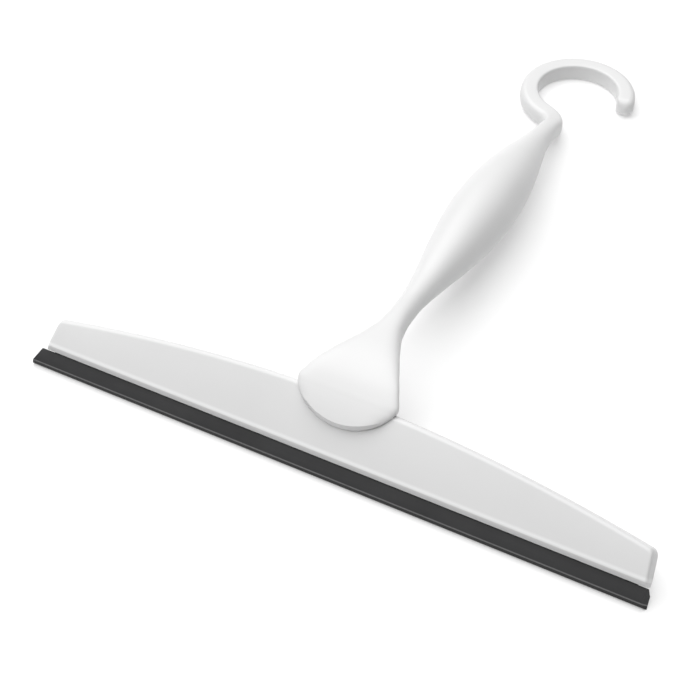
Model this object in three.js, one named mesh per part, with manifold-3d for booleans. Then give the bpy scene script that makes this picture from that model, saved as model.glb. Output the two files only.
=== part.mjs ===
// Window cleaning squeegee: a moulded handle with a hanging hook, a blade holder and a rubber blade.
// Millimetres, +Z up. The part rests as it lies on a table: the rubber's lip and the hook touch z = 0.
// +X runs along the blade and +Y runs from the blade to the hook.
import * as THREE from "three";
import Module from "manifold-3d";

const wasm = await Module();
wasm.setup();
const { Manifold, Mesh: SolidMesh } = wasm;

// ---- Driving dimensions ----------------------------------------------------------------------
const GAP = 0.3; // clearance between pieces that touch

// The blade holder stands at a tilt. On its section, v climbs from the lip up the face, and n is the
// distance in front of the face.
const TILT = THREE.MathUtils.degToRad(41.6);
const LIP_BACK = { v: -0.6, n: -5.4 }; // the corner of the rubber that stands on the table
const LIP_BACK_Y = 4.45;

const HOLDER = {
  half: 125, // half the length along the blade
  thick: 7.5,
  mouth: 6.75, // v of the slot's mouth
  foot: 8.6, // v of the lower edge of the face
  end: 20.1, // v of the top edge at the ends
  crown: 31.5, // v of the top edge at the middle
  endTaper: 0.0011, // how much the ends lean in, per mm of v
  endDraft: 0.0014, // how much they spread toward the back, per mm
  cornerRadius: 2.0, // top corners, seen on the face
  endRadius: 0.9, // rounding between the face and the end walls
  topRadius: 1.9, // rounding along the top edge
  backRadius: 1.3,
  lowRadius: 1.4, // rounding along the lower edge of the face
};
const SLOT = { half: 122.5, front: -2.45, back: -5.05, top: 9.3 };
const POCKET = { front: -1.6, back: -5.9, top: 12.9 };

const BLADE = {
  // section of the part that shows, from the mouth down the front, round the lip and up the back
  section: [
    [6.45, -2.75],
    [1.1, -2.35],
    [0.7, -2.5],
    [-0.6, -4.2],
    [-0.6, -5.4],
    [4.0, -5.6],
    [6.45, -4.2],
  ],
  left: { at: -128.1, perV: -0.4, perN: 0 }, // end faces: x at the mouth, lean per mm of v and of n
  right: { at: 125.2, perV: 0.11, perN: 0.6 },
  neck: { half: 122.2, front: -2.8, back: -4.15, low: 6, top: 10 },
  bead: { half: 122.2, front: -1.95, back: -5.55, low: 9.65, top: 12.55 },
};

const FAN = {
  low: 19.5, // v of the lowest point of the handle's foot
  radius: 25.7, // of the foot's curved lower edge
  middle: -3.25, // n of the foot's middle plane
  half: 6.25, // half the foot's thickness
  bevel: 1.8, // how far the wall below the rim slopes in
  squareness: 7,
  sag: 1.1, // how far the foot's middle bends back from its plane at the shoulder
  draft: 0.17, // how much narrower its back is than its face
  draftStart: 28, // y where the draft starts to fade, and the length it takes
  draftRun: 25,
  shoulder: [
    [10.6, 20.6],
    [13.2, 21.5],
  ], // height above the lowest point, half width
};

const HOOK = {
  radius: 23.43, // of the hook's centre line
  y: 268.7, // centre of the hook
  half: 4.3, // half the width and thickness of its section
  outer: 3, // squareness on its outer side and on its inner side
  inner: 6.5,
  knuckleRadius: 14,
  join: 248, // degrees: where the knuckle meets the hook
  tip: 8, // degrees: where the round tip starts
};

// Stations of the handle from the foot to the knuckle: y, z of the middle, half width, half thickness,
// squareness of the section (2 is an ellipse, larger is closer to a rounded box).
const STATIONS = [
  [33.0, 25.27, 19.12, 6.10, 6.5],
  [38.4, 26.59, 15.95, 5.90, 5.5],
  [45.0, 27.24, 12.49, 5.60, 4.4],
  [52.5, 27.47, 8.77, 5.20, 3.4],
  [61.0, 27.44, 5.74, 4.90, 2.7],
  [70.0, 27.10, 4.80, 4.75, 2.2],
  [79.0, 26.23, 4.87, 4.75, 2],
  [88.0, 25.11, 5.67, 5.55, 2],
  [97.0, 23.98, 6.88, 6.70, 2],
  [108.0, 22.92, 8.76, 8.55, 2],
  [120.0, 21.75, 10.81, 10.55, 2],
  [134.0, 20.68, 12.69, 12.35, 2],
  [151.0, 19.55, 13.83, 13.45, 2],
  [166.0, 18.62, 13.48, 13.15, 2],
  [180.0, 17.61, 12.02, 11.70, 2],
  [192.0, 16.68, 10.00, 9.75, 2],
  [202.0, 15.60, 7.94, 7.75, 2],
  [211.0, 14.40, 6.24, 6.20, 2.1],
  [220.0, 12.70, 5.15, 5.10, 2.4],
  [228.0, 10.60, 4.50, 4.50, 2.8],
  [236.0, 7.90, 4.35, 4.35, 3.1],
];

// ---- Frames and meshes -----------------------------------------------------------------------
const U = new THREE.Vector3(0, Math.cos(TILT), Math.sin(TILT)); // up the holder's face
const N = new THREE.Vector3(0, -Math.sin(TILT), Math.cos(TILT)); // out of the holder's face
const ORIGIN = new THREE.Vector3(0, LIP_BACK_Y, 0)
  .addScaledVector(U, -LIP_BACK.v)
  .addScaledVector(N, -LIP_BACK.n);
const onHolder = (x, v, n) =>
  new THREE.Vector3(x, 0, 0).add(ORIGIN).addScaledVector(U, v).addScaledVector(N, n);

// A closed solid through rings of points, all with the same count, with a flat cap on each end.
function loft(rings) {
  const m = rings[0].length;
  const points = rings.flat();
  const index = [];
  for (let i = 0; i + 1 < rings.length; i++)
    for (let j = 0; j < m; j++) {
      const a = i * m + j;
      const b = i * m + ((j + 1) % m);
      index.push(a, b, b + m, a, b + m, a + m);
    }
  for (const [ring, first] of [
    [rings[0], true],
    [rings.at(-1), false],
  ]) {
    const centre = ring.reduce((s, p) => s.add(p), new THREE.Vector3()).divideScalar(m);
    const c = points.push(centre) - 1;
    const start = first ? 0 : (rings.length - 1) * m;
    for (let j = 0; j < m; j++) {
      const a = start + j;
      const b = start + ((j + 1) % m);
      index.push(...(first ? [c, b, a] : [c, a, b]));
    }
  }
  return solid(points, index);
}

function solid(points, index) {
  const make = (tri) =>
    new Manifold(
      new SolidMesh({
        numProp: 3,
        vertProperties: new Float32Array(points.flatMap((p) => p.toArray())),
        triVerts: new Uint32Array(tri),
      }),
    );
  const made = make(index);
  if (made.volume() > 0) return made;
  const flipped = [];
  for (let i = 0; i < index.length; i += 3) flipped.push(index[i], index[i + 2], index[i + 1]);
  return make(flipped);
}

// A prism along X with a section on the holder's (v, n) plane, its ends given by functions of v, n.
const prism = (section, left, right) =>
  loft([left, right].map((x) => section.map(([v, n]) => onHolder(x(v, n), v, n))));

const box = ({ half, front, back, low, top }) =>
  prism(
    [
      [low, front],
      [low, back],
      [top, back],
      [top, front],
    ],
    () => -half,
    () => half,
  );

// A closed outline with each corner [v, n, radius] rounded by an arc of the given number of steps.
function rounded(corners, steps) {
  const out = [];
  corners.forEach(([v, n, r], i) => {
    const p = new THREE.Vector2(v, n);
    const a = new THREE.Vector2(...corners.at(i - 1).slice(0, 2)).sub(p).normalize();
    const b = new THREE.Vector2(...corners[(i + 1) % corners.length].slice(0, 2)).sub(p).normalize();
    const halfAngle = Math.acos(THREE.MathUtils.clamp(a.dot(b), -1, 1)) / 2;
    const middle = a.clone().add(b).normalize();
    const centre = p.clone().addScaledVector(middle, r / Math.sin(halfAngle));
    const from = p.clone().addScaledVector(a, r / Math.tan(halfAngle)).sub(centre);
    const to = p.clone().addScaledVector(b, r / Math.tan(halfAngle)).sub(centre);
    const turn = Math.atan2(from.cross(to), from.dot(to));
    for (let k = 0; k <= steps; k++) {
      const q = from.clone().rotateAround(new THREE.Vector2(), (turn * k) / steps).add(centre);
      out.push([q.x, q.y]);
    }
  });
  return out;
}

const fillet = (r, e) => (e >= r ? 0 : r - Math.sqrt(Math.max(0, r * r - (r - e) ** 2)));

// ---- Blade holder ----------------------------------------------------------------------------
// grow makes the same body larger all round, as the tool that cuts the pocket in the handle's foot.
function holderBody(grow) {
  const H = HOLDER;
  const fromEnd = [0, 0.08, 0.3, 0.65, 1.1, 1.7, 2.4, 3.1];
  const along = [];
  for (let i = -15; i <= 15; i++) along.push((i / 15) * (H.half - 6));
  const xs = [
    ...fromEnd.map((e) => e - H.half),
    ...along,
    ...fromEnd.map((e) => H.half - e).reverse(),
  ];
  const mid = -H.thick / 2;
  const rings = xs.map((x) => {
    const e = H.half - Math.abs(x);
    const inset = fillet(H.endRadius, e) - grow;
    const top = H.end + (H.crown - H.end) * (1 - (x / H.half) ** 2) - fillet(H.cornerRadius, e) + grow;
    const low = H.foot + inset;
    const front = -inset;
    const back = -H.thick + inset;
    const mouth = H.mouth + inset * 0.5;
    const ring = rounded(
      [
        [mouth, mid + 1.7, 0.25],
        [mouth, mid - 1.7, 0.25],
        [low, back, 0.7],
        [top, back, H.backRadius],
        [top, front, H.topRadius],
        [low, front, H.lowRadius],
      ],
      4,
    );
    return ring.map(([v, n]) => onHolder(x * (1 - H.endTaper * (v - H.foot) - H.endDraft * n), v, n));
  });
  return loft(rings);
}

const slot = box({ ...SLOT, low: 0 }).add(box({ half: SLOT.half, ...POCKET, low: SLOT.top - 0.01 }));
const holder = holderBody(0).subtract(slot);

// ---- Rubber blade ----------------------------------------------------------------------------
const endFace = (e) => (v, n) =>
  e.at + e.perV * (BLADE.section[0][0] - v) + e.perN * (BLADE.section[0][1] - n);
const blade = prism(BLADE.section, endFace(BLADE.left), endFace(BLADE.right))
  .add(box(BLADE.neck))
  .add(box(BLADE.bead));

// ---- Handle ----------------------------------------------------------------------------------
// One ring: a superellipse with half width a along the side axis and half thickness b. Its squareness
// goes from left to right across the ring, and near the foot its back is narrower than its face.
const RING = 32;
function ringAt(centre, tangent, a, b, left, right = left) {
  const draft = FAN.draft * (1 - THREE.MathUtils.clamp((centre.y - FAN.draftStart) / FAN.draftRun, 0, 1));
  const up = new THREE.Vector3(0, 0, 1).addScaledVector(tangent, -tangent.z).normalize();
  const side = new THREE.Vector3().crossVectors(tangent, up);
  return Array.from({ length: RING }, (_, i) => {
    const t = (i / RING) * Math.PI * 2;
    const power = THREE.MathUtils.lerp(left, right, THREE.MathUtils.smoothstep(Math.cos(t), -0.4, 0.4));
    const bend = (c) => Math.sign(c) * Math.abs(c) ** (2 / power);
    return centre
      .clone()
      .addScaledVector(side, a * bend(Math.cos(t)) * (1 - (draft * (1 - bend(Math.sin(t)))) / 2))
      .addScaledVector(up, b * bend(Math.sin(t)));
  });
}

const rings = [];

// The foot: a round-ended paddle that starts on the holder's plane and bends back toward the shoulder.
const footTop = FAN.shoulder[1][0];
const footMiddle = (h) => onHolder(0, FAN.low + h, FAN.middle - FAN.sag * (h / footTop) ** 2);
const footTangent = (h) => U.clone().addScaledVector(N, (-2 * FAN.sag * h) / footTop ** 2).normalize();
const FOOT_RINGS = 12;
const footHeight = FAN.shoulder[0][0];
for (let i = 0; i <= FOOT_RINGS; i++) {
  const h = 0.03 + (footHeight - 0.03) * (i / FOOT_RINGS) ** 2;
  const width = Math.min(Math.sqrt(2 * FAN.radius * h - h * h), FAN.shoulder[0][1]);
  const flank = THREE.MathUtils.lerp(14, FAN.squareness, Math.min(1, h / 7));
  rings.push(ringAt(footMiddle(h), footTangent(h), width, FAN.half, flank));
}

// The rest of the handle follows a smooth line through the foot's shoulder and the stations.
const shoulder = FAN.shoulder.map(([h, a]) => {
  const p = footMiddle(h);
  return [p.y, p.z, a, FAN.half, FAN.squareness];
});
const stations = [...shoulder, ...STATIONS];
const knuckleY = HOOK.y + HOOK.radius * Math.sin(THREE.MathUtils.degToRad(HOOK.join));
const turn = THREE.MathUtils.degToRad(HOOK.join - 180);
const knuckleStart = knuckleY - HOOK.knuckleRadius * Math.sin(turn);
const line = new THREE.CatmullRomCurve3(stations.map(([y, z]) => new THREE.Vector3(0, y, z)));
const size = new THREE.CatmullRomCurve3(stations.map(([, , a, b, p]) => new THREE.Vector3(a, b, p)));

const STEPS = 3;
const last = (stations.length - 1) * STEPS;
for (let i = 1; i <= last; i++) {
  const t = i / last;
  const centre = line.getPoint(t);
  const tangent = line.getTangent(t);
  const s = size.getPoint(t);
  if (centre.y > knuckleStart) {
    // bend the end of the line to the left, onto the knuckle's arc
    const angle = (centre.y - knuckleStart) / HOOK.knuckleRadius;
    centre.x = -HOOK.knuckleRadius * (1 - Math.cos(angle));
    centre.y = knuckleStart + HOOK.knuckleRadius * Math.sin(angle);
    tangent.set(-Math.sin(angle), Math.cos(angle), tangent.z).normalize();
  }
  rings.push(ringAt(centre, tangent, s.x, s.y, s.z));
}

// The rest of the knuckle, then the hook, flat on the table, and its round tip.
const endAngle = (stations.at(-1)[0] - knuckleStart) / HOOK.knuckleRadius;
const KNUCKLE_RINGS = 8;
const fall = HOOK.half - stations.at(-1)[1];
for (let i = 1; i <= KNUCKLE_RINGS; i++) {
  const f = i / KNUCKLE_RINGS;
  const angle = THREE.MathUtils.lerp(endAngle, turn, f);
  const z = stations.at(-1)[1] + fall * (1 - (1 - f) ** 2);
  const grade = (2 * fall * (1 - f)) / (HOOK.knuckleRadius * (turn - endAngle));
  const centre = new THREE.Vector3(
    -HOOK.knuckleRadius * (1 - Math.cos(angle)),
    knuckleStart + HOOK.knuckleRadius * Math.sin(angle),
    z,
  );
  const tangent = new THREE.Vector3(-Math.sin(angle), Math.cos(angle), grade).normalize();
  const inner = THREE.MathUtils.lerp(HOOK.outer, HOOK.inner, f);
  rings.push(ringAt(centre, tangent, HOOK.half, HOOK.half, HOOK.outer, inner));
}
const HOOK_RINGS = 40;
for (let i = 1; i <= HOOK_RINGS; i++) {
  const q = THREE.MathUtils.degToRad(THREE.MathUtils.lerp(HOOK.join, HOOK.tip, i / HOOK_RINGS));
  const centre = new THREE.Vector3(
    HOOK.radius * Math.cos(q),
    HOOK.y + HOOK.radius * Math.sin(q),
    HOOK.half,
  );
  const tangent = new THREE.Vector3(Math.sin(q), -Math.cos(q), 0);
  rings.push(ringAt(centre, tangent, HOOK.half, HOOK.half, HOOK.outer, HOOK.inner));
}
const TIP_RINGS = 6;
for (let i = 1; i <= TIP_RINGS; i++) {
  const f = (i / TIP_RINGS) * 0.97 * (Math.PI / 2);
  const along = (HOOK.half * Math.sin(f)) / HOOK.radius;
  const q = THREE.MathUtils.degToRad(HOOK.tip) - along;
  const r = HOOK.half * Math.cos(f);
  const centre = new THREE.Vector3(
    HOOK.radius * Math.cos(q),
    HOOK.y + HOOK.radius * Math.sin(q),
    HOOK.half,
  );
  const tangent = new THREE.Vector3(Math.sin(q), -Math.cos(q), 0);
  const square = (full) => THREE.MathUtils.lerp(full, 2, i / TIP_RINGS);
  rings.push(ringAt(centre, tangent, r, r, square(HOOK.outer), square(HOOK.inner)));
}

// The wall below the foot's rim slopes in: what stands outside a cone around the foot's arc is cut off.
const arcV = FAN.low + FAN.radius;
const disc = (n, radius) =>
  Array.from({ length: 120 }, (_, i) => {
    const t = (i / 120) * Math.PI * 2;
    return onHolder(radius * Math.sin(t), arcV + radius * Math.cos(t), n);
  });
const rim = FAN.middle + FAN.half;
const slope = FAN.bevel / rim;
const cone = loft([disc(-1, FAN.radius + slope), disc(rim + 1, FAN.radius - FAN.bevel - slope)]);
const collarBox = { half: 40, front: rim + 0.5, back: 0, low: FAN.low - 2, top: arcV - 14 };
const collar = box(collarBox).subtract(cone);
const handle = loft(rings).subtract(collar).subtract(holderBody(GAP));

// ---- Scene graph -----------------------------------------------------------------------------
function node(name, made, colour, roughness) {
  const { vertProperties, triVerts } = made.getMesh();
  const geometry = new THREE.BufferGeometry()
    .setAttribute("position", new THREE.BufferAttribute(vertProperties, 3))
    .setIndex(new THREE.BufferAttribute(triVerts, 1));
  geometry.computeVertexNormals();
  const material = new THREE.MeshStandardMaterial({ color: colour, roughness, metalness: 0 });
  const mesh = new THREE.Mesh(geometry, material);
  mesh.name = name;
  return mesh;
}

const squeegee = new THREE.Group();
squeegee.name = "squeegee";
squeegee.add(
  node("handle", handle, 0xf2f2f2, 0.4),
  node("blade_holder", holder, 0xf0f0f0, 0.42),
  node("rubber_blade", blade, 0x2c2c2c, 0.6),
);

// The origin is the middle of the bounding box's underside.
const bounds = new THREE.Box3().setFromObject(squeegee);
const middle = bounds.getCenter(new THREE.Vector3());
squeegee.position.set(-middle.x, -middle.y, -bounds.min.z);

export default squeegee;
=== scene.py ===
# Window cleaning squeegee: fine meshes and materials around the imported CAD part. Metres, Z up.
import math

import bmesh
import bpy
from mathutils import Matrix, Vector


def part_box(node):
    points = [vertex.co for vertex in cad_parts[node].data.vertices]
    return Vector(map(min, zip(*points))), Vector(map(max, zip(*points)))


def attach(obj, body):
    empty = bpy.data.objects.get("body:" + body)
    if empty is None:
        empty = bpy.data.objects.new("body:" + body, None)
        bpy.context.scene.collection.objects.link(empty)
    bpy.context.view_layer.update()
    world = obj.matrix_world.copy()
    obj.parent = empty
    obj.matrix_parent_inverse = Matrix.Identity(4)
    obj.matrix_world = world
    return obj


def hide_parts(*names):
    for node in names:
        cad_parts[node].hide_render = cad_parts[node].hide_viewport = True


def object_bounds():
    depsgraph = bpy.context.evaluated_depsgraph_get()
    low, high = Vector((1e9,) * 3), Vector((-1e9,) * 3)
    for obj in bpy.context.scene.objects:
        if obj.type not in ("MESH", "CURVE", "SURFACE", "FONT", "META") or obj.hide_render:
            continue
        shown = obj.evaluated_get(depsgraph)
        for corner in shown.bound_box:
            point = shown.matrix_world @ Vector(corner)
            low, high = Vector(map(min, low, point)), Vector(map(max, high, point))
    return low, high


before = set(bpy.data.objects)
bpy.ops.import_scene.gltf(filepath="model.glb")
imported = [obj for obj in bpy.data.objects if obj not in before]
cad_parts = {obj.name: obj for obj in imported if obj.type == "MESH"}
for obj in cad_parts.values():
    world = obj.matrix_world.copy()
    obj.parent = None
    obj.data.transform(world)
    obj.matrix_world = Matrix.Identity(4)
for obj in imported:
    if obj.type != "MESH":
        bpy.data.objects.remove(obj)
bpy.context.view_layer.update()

MM = 0.001

# ---- Frame: CAD's own zero and the holder's plane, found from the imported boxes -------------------
TILT = math.radians(41.6)
U = Vector((0, math.cos(TILT), math.sin(TILT)))  # up the holder's face
N = Vector((0, -math.sin(TILT), math.cos(TILT)))  # out of the holder's face

# In CAD's own frame, in mm: the handle's middle plane is x = 0 and the hook's centre is y = 268.7.
HANDLE_END = 296.413  # the hook's far side, along y
RUBBER_END = 127.5655  # the rubber's right end, along x
LIP = Vector((0, 4.45, 0))  # the rubber's edge on the floor
LIP_V, LIP_N = -0.6, -5.4  # the same edge on the holder's plane

handle_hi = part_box("handle")[1]
rubber_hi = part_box("rubber_blade")[1]
floor_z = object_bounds()[0].z
CAD = Vector((rubber_hi.x - RUBBER_END * MM, handle_hi.y - HANDLE_END * MM, floor_z))
HOLDER_ORIGIN = CAD + (LIP - U * LIP_V - N * LIP_N) * MM


def on_holder(x, v, n):
    """A point in metres: x along the blade, v up the holder's face and n out of it, all in mm."""
    return HOLDER_ORIGIN + (Vector((x, 0, 0)) + U * v + N * n) * MM


# ---- Mesh helpers --------------------------------------------------------------------------------
def new_object(name, verts, faces):
    mesh = bpy.data.meshes.new(name)
    mesh.from_pydata([tuple(v) for v in verts], [], faces)
    mesh.validate()
    mesh.update()
    obj = bpy.data.objects.new(name, mesh)
    bpy.context.collection.objects.link(obj)
    return obj


def select_only(obj):
    bpy.ops.object.select_all(action="DESELECT")
    obj.select_set(True)
    bpy.context.view_layer.objects.active = obj


def shade(obj, angle):
    """Smooth shading across the edges that turn by less than this many degrees."""
    select_only(obj)
    bpy.ops.object.shade_smooth_by_angle(angle=math.radians(angle))


def loft(name, rings):
    """A closed mesh through rings of points, capped at both ends, with its faces looking out."""
    m = len(rings[0])
    last = (len(rings) - 1) * m
    faces = [tuple(reversed(range(m))), tuple(range(last, last + m))]
    for i in range(0, last, m):
        for j in range(m):
            a, b = i + j, i + (j + 1) % m
            faces.append((a, b, b + m, a + m))
    obj = new_object(name, [p for ring in rings for p in ring], faces)
    bm = bmesh.new()
    bm.from_mesh(obj.data)
    bmesh.ops.recalc_face_normals(bm, faces=bm.faces)
    bm.to_mesh(obj.data)
    bm.free()
    return obj


def boolean(obj, other, operation="DIFFERENCE"):
    """Cuts the other mesh from obj, or joins it on, and deletes it."""
    mod = obj.modifiers.new("cut", "BOOLEAN")
    mod.operation = operation
    mod.solver = "EXACT"
    mod.object = other
    select_only(obj)
    bpy.ops.object.modifier_apply(modifier=mod.name)
    bpy.data.objects.remove(other, do_unlink=True)


def rounded(corners, steps):
    """A closed outline of (v, n), with each corner (v, n, radius) rounded by an arc."""
    out = []
    for i, (v, n, r) in enumerate(corners):
        p = Vector((v, n))
        a = (Vector(corners[i - 1][:2]) - p).normalized()
        b = (Vector(corners[(i + 1) % len(corners)][:2]) - p).normalized()
        half = math.acos(max(-1, min(1, a.dot(b)))) / 2
        centre = p + (a + b).normalized() * (r / math.sin(half))
        start = p + a * (r / math.tan(half)) - centre
        end = p + b * (r / math.tan(half)) - centre
        turn = math.atan2(start.x * end.y - start.y * end.x, start.dot(end))
        for s in range(steps + 1):
            t = turn * s / steps
            c, d = math.cos(t), math.sin(t)
            q = centre + Vector((start.x * c - start.y * d, start.x * d + start.y * c))
            out.append((q.x, q.y))
    return out


def prism(name, section, left, right):
    """A section of (v, n) run along the blade, from x = left(v, n) to x = right(v, n)."""
    return loft(name, [[on_holder(x(v, n), v, n) for v, n in section] for x in (left, right)])


def bar(name, half, front, back, low, top):
    """A box in the holder's frame, from x = -half to x = half."""
    return prism(name, [(low, front), (low, back), (top, back), (top, front)],
                 lambda v, n: -half, lambda v, n: half)


# ---- Blade holder --------------------------------------------------------------------------------
H = dict(half=125, thick=7.5, mouth=6.75, foot=8.6, end=20.1, crown=31.5, taper=0.0011,
         draft=0.0014, corner=2.0, end_r=0.9, top_r=1.9, back_r=1.3, low_r=1.4)
LIP_HALF, MOUTH_R, BACK_LOW_R = 1.7, 0.25, 0.7  # the narrow lip around the slot
END_RUN, INNER_RUN = 4.2, 6  # mm of each end with close rings, and where the even rings start
# Bars in mm: half their length, front n, back n, low v, top v
SLOT = (122.5, -2.45, -5.05, 0, 9.3)
CHANNEL = (122.5, -1.6, -5.9, 9.25, 12.9)
NECK = (122.2, -2.8, -4.15, 6, 10)
BEAD = (122.2, -1.95, -5.55, 9.65, 12.55)
SEAT_GAP = 0.3  # clearance between the holder and the foot's pocket


def fillet(r, e):
    """How far a corner of radius r draws in at distance e from the end."""
    return 0.0 if e >= r else r - math.sqrt(max(0.0, r * r - (r - e) ** 2))


def holder_body(name, grow, steps, along, end_steps):
    """The holder's outer shape, grown by some mm: steps are per arc, along the middle and per end."""
    half, thick = H["half"], H["thick"]
    ends = [END_RUN * (1 - math.cos(math.pi / 2 * i / end_steps)) for i in range(end_steps + 1)]
    inner = [((2 * i / along) - 1) * (half - INNER_RUN) for i in range(along + 1)]
    rings = []
    for x in [e - half for e in ends] + inner + [half - e for e in reversed(ends)]:
        e = half - abs(x)
        inset = fillet(H["end_r"], e) - grow
        top = H["end"] + (H["crown"] - H["end"]) * (1 - (x / half) ** 2)
        top += grow - fillet(H["corner"], e)
        low, front, back = H["foot"] + inset, -inset, -thick + inset
        mouth = H["mouth"] + inset * 0.5
        ring = rounded(
            [(mouth, -thick / 2 + LIP_HALF, MOUTH_R), (mouth, -thick / 2 - LIP_HALF, MOUTH_R),
             (low, back, BACK_LOW_R), (top, back, H["back_r"]), (top, front, H["top_r"]),
             (low, front, H["low_r"])],
            steps,
        )
        rings.append([on_holder(x * (1 - H["taper"] * (v - H["foot"]) - H["draft"] * n), v, n)
                      for v, n in ring])
    return loft(name, rings)


def blade_holder():
    body = holder_body("holder_shell", 0, 8, 120, 14)
    boolean(body, bar("slot", *SLOT))
    boolean(body, bar("channel", *CHANNEL))
    shade(body, 32)
    return body


# ---- Rubber blade --------------------------------------------------------------------------------
RUBBER_TOP, RUBBER_FRONT = 6.45, -2.75
RUBBER = [(RUBBER_TOP, RUBBER_FRONT, 0.2), (0.95, -2.36, 0.35), (LIP_V, -4.2, 0.12),
          (LIP_V, LIP_N, 0.1), (4.0, -5.6, 0.3), (RUBBER_TOP, -4.2, 0.2)]


def end_face(at, per_v, per_n):
    """A slanted end: x in mm at the rubber's top front edge, and how it changes down and back."""
    return lambda v, n: at + per_v * (RUBBER_TOP - v) + per_n * (RUBBER_FRONT - n)


def rubber_blade():
    left, right = end_face(-128.1, -0.4, 0), end_face(125.2, 0.11, 0.6)
    body = prism("rubber_strip", rounded(RUBBER, 4), left, right)
    boolean(body, bar("neck", *NECK), "UNION")
    boolean(body, bar("bead", *BEAD), "UNION")
    shade(body, 30)
    return body


# ---- Handle --------------------------------------------------------------------------------------
RING = 96  # points in a ring
FAN = dict(low=19.5, radius=25.7, middle=-3.25, half=6.25, bevel=1.8, square=7,
           arc_square=14, square_run=7)
SHOULDER = [(10.6, 20.6), (13.2, 21.5)]  # height over the fan's low point, half width
DRAFT, DRAFT_START, DRAFT_RUN = 0.17, 28, 25  # how much narrower the foot's back is than its face
SAG = 1.1  # how far the foot's middle bends back from its plane at the shoulder
HOOK_Y, HOOK_R, HOOK_HALF, HOOK_RISE = 268.7, 23.41, 4.28, 4.3  # centre line, half section, height
KNUCKLE_R, JOIN, TIP = 14.0, 248.0, 8.0  # the hook runs from JOIN down to TIP degrees
TIP_TURN = 0.985 * math.pi / 2  # the tip's rounding stops short of a point
OUTER, INNER, ROUND = 3.0, 6.5, 2  # squareness of the hook's outer and inner sides, and of a circle
FAN_RINGS, STATION_RINGS, KNUCKLE_RINGS, HOOK_RINGS, TIP_RINGS = 40, 10, 24, 160, 20
STATIONS = [  # y, z, half width, half height, squareness
    [33.0, 25.27, 19.12, 6.10, 6.5],
    [38.4, 26.59, 15.95, 5.90, 5.5],
    [45.0, 27.24, 12.49, 5.60, 4.4],
    [52.5, 27.47, 8.77, 5.20, 3.4],
    [61.0, 27.44, 5.74, 4.90, 2.7],
    [70.0, 27.10, 4.80, 4.75, 2.2],
    [79.0, 26.23, 4.87, 4.75, 2],
    [88.0, 25.11, 5.67, 5.55, 2],
    [97.0, 23.98, 6.88, 6.70, 2],
    [108.0, 22.92, 8.76, 8.55, 2],
    [120.0, 21.75, 10.81, 10.55, 2],
    [134.0, 20.68, 12.69, 12.35, 2],
    [151.0, 19.55, 13.83, 13.45, 2],
    [166.0, 18.62, 13.48, 13.15, 2],
    [180.0, 17.61, 12.02, 11.70, 2],
    [192.0, 16.68, 10.00, 9.75, 2],
    [202.0, 15.60, 7.94, 7.75, 2],
    [211.0, 14.40, 6.24, 6.20, 2.1],
    [220.0, 12.70, 5.15, 5.10, 2.4],
    [228.0, 10.60, 4.50, 4.50, 2.8],
    [236.0, 7.90, 4.35, 4.35, 3.1],
]


def catmull(points, t):
    """Centripetal Catmull-Rom through lists of numbers, with the ends carried on in a straight line."""
    def point(k):
        if k < 0:
            return [2 * a - b for a, b in zip(points[0], points[1])]
        if k >= len(points):
            return [2 * a - b for a, b in zip(points[-1], points[-2])]
        return points[k]

    def dist(a, b):
        return max(1e-4, sum((x - y) ** 2 for x, y in zip(a, b)) ** 0.25)

    p = t * (len(points) - 1)
    i = min(int(p), len(points) - 2)
    w = p - i
    p0, p1, p2, p3 = point(i - 1), point(i), point(i + 1), point(i + 2)
    d0, d1, d2 = dist(p0, p1), dist(p1, p2), dist(p2, p3)
    out = []
    for a, b, c, d in zip(p0, p1, p2, p3):
        t1 = ((b - a) / d0 - (c - a) / (d0 + d1) + (c - b) / d1) * d1
        t2 = ((c - b) / d1 - (d - b) / (d1 + d2) + (d - c) / d2) * d1
        c2, c3 = -3 * b + 3 * c - 2 * t1 - t2, 2 * b - 2 * c + t1 + t2
        out.append(b + t1 * w + c2 * w * w + c3 * w ** 3)
    return out


def squared(c, power):
    """A sine or cosine, bent so that the curve it draws is a superellipse."""
    return math.copysign(abs(c) ** (2 / power), c)


def ring_at(centre, tangent, a, b, left, right=None):
    """A superellipse in mm of CAD's own frame. Its squareness goes from left to right across it."""
    up = (Vector((0, 0, 1)) - tangent * tangent.z).normalized()
    side = tangent.cross(up)
    draft = DRAFT * (1 - max(0, min(1, (centre.y - DRAFT_START) / DRAFT_RUN)))
    out = []
    for i in range(RING):
        t = i / RING * 2 * math.pi
        w = max(0, min(1, (math.cos(t) + 0.4) / 0.8))
        power = left + ((right or left) - left) * w * w * (3 - 2 * w)
        across, along_up = squared(math.cos(t), power), squared(math.sin(t), power)
        lean = 1 - draft * (1 - along_up) / 2
        out.append(CAD + (centre + side * (a * across * lean) + up * (b * along_up)) * MM)
    return out


def foot_middle(h):
    n = FAN["middle"] - SAG * (h / SHOULDER[1][0]) ** 2
    return (on_holder(0, FAN["low"] + h, n) - CAD) / MM


def foot_tangent(h):
    return (U - N * (2 * SAG * h / SHOULDER[1][0] ** 2)).normalized()


def fan_rings():
    """The arc at the foot's low end, up to the shoulder."""
    rings = []
    top, r = SHOULDER[0][0], FAN["radius"]
    for i in range(FAN_RINGS + 1):
        h = 0.01 + (top - 0.01) * (i / FAN_RINGS) ** 2
        width = min(math.sqrt(2 * r * h - h * h), SHOULDER[0][1])
        flank = FAN["arc_square"]
        flank += (FAN["square"] - flank) * min(1, h / FAN["square_run"])
        rings.append(ring_at(foot_middle(h), foot_tangent(h), width, FAN["half"], flank))
    return rings


def on_knuckle(q, start, z):
    """A point of the bend between grip and hook, q radians into it."""
    return Vector((-KNUCKLE_R * (1 - math.cos(q)), start + KNUCKLE_R * math.sin(q), z))


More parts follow.
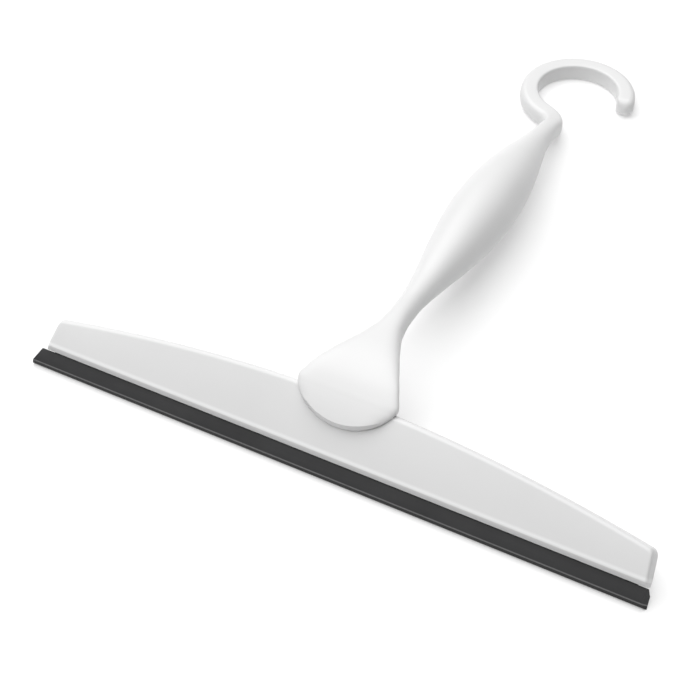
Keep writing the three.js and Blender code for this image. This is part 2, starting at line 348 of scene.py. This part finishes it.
def stem_rings(stations, start):
    """Waist and grip, through the stations. The last of them already follow the knuckle's bend."""
    line = [[0.0, s[0], s[1]] for s in stations]
    size = [s[2:] for s in stations]
    last = (len(stations) - 1) * STATION_RINGS
    rings = []
    for i in range(1, last + 1):
        t = i / last
        c = Vector(catmull(line, t))
        d = Vector(catmull(line, min(1, t + 1e-3))) - Vector(catmull(line, max(0, t - 1e-3)))
        d.normalize()
        if c.y > start:
            q = (c.y - start) / KNUCKLE_R
            c = on_knuckle(q, start, c.z)
            d = Vector((-math.sin(q), math.cos(q), d.z)).normalized()
        rings.append(ring_at(c, d, *catmull(size, t)))
    return rings


def knuckle_rings(y, z, start, turn):
    """The rest of the bend, from the last station down to the hook's height."""
    q0 = (y - start) / KNUCKLE_R
    rings = []
    for i in range(1, KNUCKLE_RINGS + 1):
        f = i / KNUCKLE_RINGS
        q = q0 + (turn - q0) * f
        c = on_knuckle(q, start, z + (HOOK_RISE - z) * (1 - (1 - f) ** 2))
        grade = 2 * (HOOK_RISE - z) * (1 - f) / (KNUCKLE_R * (turn - q0))
        d = Vector((-math.sin(q), math.cos(q), grade)).normalized()
        rings.append(ring_at(c, d, HOOK_HALF, HOOK_HALF, OUTER, OUTER + (INNER - OUTER) * f))
    return rings


def hook_ring(q, half, outer, inner):
    c = Vector((HOOK_R * math.cos(q), HOOK_Y + HOOK_R * math.sin(q), HOOK_RISE))
    return ring_at(c, Vector((math.sin(q), -math.cos(q), 0)), half, half, outer, inner)


def hook_rings():
    """The open hook and its rounded tip."""
    rings = []
    for i in range(1, HOOK_RINGS + 1):
        q = math.radians(JOIN + (TIP - JOIN) * i / HOOK_RINGS)
        rings.append(hook_ring(q, HOOK_HALF, OUTER, INNER))
    for i in range(1, TIP_RINGS + 1):
        f = i / TIP_RINGS
        q = math.radians(TIP) - HOOK_HALF * math.sin(f * TIP_TURN) / HOOK_R
        rings.append(hook_ring(q, HOOK_HALF * math.cos(f * TIP_TURN),
                               OUTER + (ROUND - OUTER) * f, INNER + (ROUND - INNER) * f))
    return rings


def handle_rings():
    shoulder = []
    for h, a in SHOULDER:
        p = foot_middle(h)
        shoulder.append([p.y, p.z, a, FAN["half"], FAN["square"]])
    turn = math.radians(JOIN - 180)
    start = HOOK_Y + HOOK_R * math.sin(math.radians(JOIN)) - KNUCKLE_R * math.sin(turn)
    y, z = STATIONS[-1][:2]
    return (fan_rings() + stem_rings(shoulder + STATIONS, start)
            + knuckle_rings(y, z, start, turn) + hook_rings())


def disc(n, radius):
    """A circle of 240 points around the middle of the fan's arc, at n on the holder's plane."""
    v = FAN["low"] + FAN["radius"]
    turns = [i / 240 * 2 * math.pi for i in range(240)]
    return [on_holder(radius * math.sin(t), v + radius * math.cos(t), n) for t in turns]


def rim_cutter():
    """What stands outside a cone around the fan's arc, so that the wall below its rim slopes in."""
    low, radius = FAN["low"], FAN["radius"]
    rim = FAN["middle"] + FAN["half"]
    slope = FAN["bevel"] / rim
    collar = bar("collar", 40, rim + 0.5, 0, low - 2, low + radius - 14)
    boolean(collar, loft("cone", [disc(-1, radius + slope),
                                  disc(rim + 1, radius - FAN["bevel"] - slope)]))
    return collar


def handle_moulding():
    body = loft("handle_moulding", handle_rings())
    boolean(body, rim_cutter())
    boolean(body, holder_body("pocket", SEAT_GAP, 6, 40, 6))
    shade(body, 40)
    return body


# ---- Materials: colour, roughness and bump, all from the object's own coordinates ----------------
def new_material(name):
    """A material, its node tree, its shader and its object coordinates."""
    m = bpy.data.materials.new(name)
    m.use_nodes = True
    nt = m.node_tree
    nt.nodes.clear()
    out = nt.nodes.new("ShaderNodeOutputMaterial")
    bsdf = nt.nodes.new("ShaderNodeBsdfPrincipled")
    nt.links.new(bsdf.outputs[0], out.inputs[0])
    return m, nt, bsdf, nt.nodes.new("ShaderNodeTexCoord").outputs["Object"]


def noise(nt, vector, scale, detail):
    node = nt.nodes.new("ShaderNodeTexNoise")
    node.inputs["Scale"].default_value = scale
    node.inputs["Detail"].default_value = detail
    nt.links.new(vector, node.inputs["Vector"])
    return node.outputs["Fac"]


def ramp(nt, factor, *stops):
    """A colour ramp over two stops of (position, colour)."""
    node = nt.nodes.new("ShaderNodeValToRGB")
    for element, (position, colour) in zip(node.color_ramp.elements, stops):
        element.position = position
        element.color = (*colour, 1)
    nt.links.new(factor, node.inputs["Fac"])
    return node.outputs["Color"]


def roughness(nt, bsdf, factor, low, high):
    node = nt.nodes.new("ShaderNodeMapRange")
    node.inputs["To Min"].default_value = low
    node.inputs["To Max"].default_value = high
    nt.links.new(factor, node.inputs["Value"])
    nt.links.new(node.outputs["Result"], bsdf.inputs["Roughness"])


def bump(nt, bsdf, height, strength, distance):
    node = nt.nodes.new("ShaderNodeBump")
    node.inputs["Strength"].default_value = strength
    node.inputs["Distance"].default_value = distance
    nt.links.new(height, node.inputs["Height"])
    nt.links.new(node.outputs["Normal"], bsdf.inputs["Normal"])


def holder_height(nt, coord, low, high):
    """A smooth 0 to 1 step between v = low and v = high mm on the holder's plane."""
    dot = nt.nodes.new("ShaderNodeVectorMath")
    dot.operation = "DOT_PRODUCT"
    dot.inputs[1].default_value = U
    nt.links.new(coord, dot.inputs[0])
    band = nt.nodes.new("ShaderNodeMapRange")
    band.interpolation_type = "SMOOTHSTEP"
    base = HOLDER_ORIGIN.dot(U)
    band.inputs["From Min"].default_value = base + low * MM
    band.inputs["From Max"].default_value = base + high * MM
    nt.links.new(dot.outputs["Value"], band.inputs["Value"])
    return band.outputs["Result"]


def blend(nt, factor, low, high):
    """The colour low where the factor is 0, and high where it is 1. Each is a colour or a socket."""
    mix = nt.nodes.new("ShaderNodeMix")
    mix.data_type = "RGBA"
    nt.links.new(factor, mix.inputs["Factor"])
    for socket, value in ((mix.inputs["A"], low), (mix.inputs["B"], high)):
        if isinstance(value, tuple):
            socket.default_value = (*value, 1)
        else:
            nt.links.new(value, socket)
    return mix.outputs["Result"]


def plastic(name, light, dark, rough_low, rough_high, painted_edge_highlight=False):
    """White moulded plastic: a very fine grain, faint cloudiness, slow changes of gloss and, if asked,
    a painted highlight on the holder's lower edge.
    """
    m, nt, bsdf, coord = new_material(name)
    cloud = noise(nt, coord, 22, 3)
    base = tint = ramp(nt, cloud, (0.3, dark), (0.7, light))
    if painted_edge_highlight:
        # A painted highlight: a pale band on the rounded lower edge, which this light does not give.
        tint = blend(nt, holder_height(nt, coord, 8.35, 8.75), tint, (0.86, 0.86, 0.86))
        tint = blend(nt, holder_height(nt, coord, 9.2, 10.6), tint, base)
    nt.links.new(tint, bsdf.inputs["Base Color"])
    roughness(nt, bsdf, cloud, rough_low, rough_high)
    bump(nt, bsdf, noise(nt, coord, 2600, 2), 0.12, 0.00003)
    bsdf.inputs["IOR"].default_value = 1.49
    bsdf.inputs["Specular IOR Level"].default_value = 0.45
    return m


def rubber_material():
    """Black rubber: matt, a little dusty, with faint extrusion lines along the blade, painted shade on
    the bevel and a painted highlight on its ridge.
    """
    m, nt, bsdf, coord = new_material("black_rubber")
    stretch = nt.nodes.new("ShaderNodeMapping")
    stretch.inputs["Scale"].default_value = (12, 1400, 1400)
    nt.links.new(coord, stretch.inputs["Vector"])
    lines = noise(nt, stretch.outputs["Vector"], 1, 3)
    dust = noise(nt, coord, 60, 5)
    base = ramp(nt, dust, (0.3, (0.020, 0.020, 0.021)), (0.75, (0.030, 0.030, 0.031)))
    # Painted shade on the bevel and a painted highlight on the ridge above it, which this light does
    # not give.
    bevel, painted_ridge_highlight = (0.008, 0.008, 0.008), (0.15, 0.15, 0.152)
    tint = blend(nt, holder_height(nt, coord, 0.5, 0.65), bevel, painted_ridge_highlight)
    tint = blend(nt, holder_height(nt, coord, 0.95, 1.2), tint, base)
    nt.links.new(tint, bsdf.inputs["Base Color"])
    roughness(nt, bsdf, lines, 0.5, 0.68)
    bump(nt, bsdf, lines, 0.25, 0.00004)
    bsdf.inputs["Specular IOR Level"].default_value = 0.4
    return m


# ---- Pieces: each replaces its CAD node ----------------------------------------------------------
holder = blade_holder()
rubber = rubber_blade()
handle = handle_moulding()
white_handle = plastic("white_plastic_handle", (0.735, 0.735, 0.735), (0.71, 0.71, 0.71), 0.34, 0.42)
# The holder's plastic has a painted highlight along its rounded lower edge.
white_holder = plastic("white_plastic_holder", (0.73, 0.73, 0.73), (0.705, 0.705, 0.705), 0.36, 0.44,
                       painted_edge_highlight=True)
for obj, mat, node, slot_name in (
    (handle, white_handle, "handle", "handle"),
    (holder, white_holder, "blade_holder", "holder"),
    (rubber, rubber_material(), "rubber_blade", "rubber"),
):
    for piece in (obj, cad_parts[node]):
        piece.data.materials.clear()
        piece.data.materials.append(mat)
    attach(obj, "root")
    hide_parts(node)


# ---- Floor, light and camera ---------------------------------------------------------------------
def studio_floor(half):
    corners = [(-half, -half), (half, -half), (half, half), (-half, half)]
    floor = new_object("floor", [(x, y, floor_z) for x, y in corners], [(0, 1, 2, 3)])
    pale = bpy.data.materials.new("pale_floor")
    pale.use_nodes = True
    shader = pale.node_tree.nodes["Principled BSDF"]
    shader.inputs["Base Color"].default_value = (0.62, 0.62, 0.62, 1)
    shader.inputs["Roughness"].default_value = 0.9
    shader.inputs["Emission Color"].default_value = (1, 1, 1, 1)
    shader.inputs["Emission Strength"].default_value = 0.36
    shader.inputs["Specular IOR Level"].default_value = 0.1
    floor.data.materials.append(pale)


def place(name, data, location, direction):
    obj = bpy.data.objects.new(name, data)
    bpy.context.collection.objects.link(obj)
    obj.location = location
    obj.rotation_mode = "QUATERNION"
    obj.rotation_quaternion = direction.to_track_quat("-Z", "Y")
    return obj


def overhead_light():
    data = bpy.data.lights.new("overhead", "AREA")
    data.shape = "RECTANGLE"
    data.size, data.size_y = 3.6, 3.2
    data.energy = 110
    location = Vector((-0.6, 0.12, 2.2))
    place("overhead", data, location, -location)


def photo_camera():
    """The photograph's camera, found by a perspective fit. Its focal length was fitted in pixels."""
    data = bpy.data.cameras.new("camera")
    data.sensor_width = 36
    data.lens = 1451.2 / 700 * data.sensor_width
    data.clip_start, data.clip_end = 0.01, 50
    return place("camera", data, CAD + Vector((167.5, -297.0, 422.1)) * MM,
                 Vector((-0.320, 0.621, -0.716)))


studio_floor(6.0)
world = bpy.data.worlds.new("studio")
world.use_nodes = True
background = world.node_tree.nodes["Background"]
background.inputs["Color"].default_value = (1, 1, 1, 1)
background.inputs["Strength"].default_value = 0.05
overhead_light()
scene = bpy.context.scene
scene.world = world
scene.view_settings.view_transform = "Standard"
scene.camera = photo_camera()
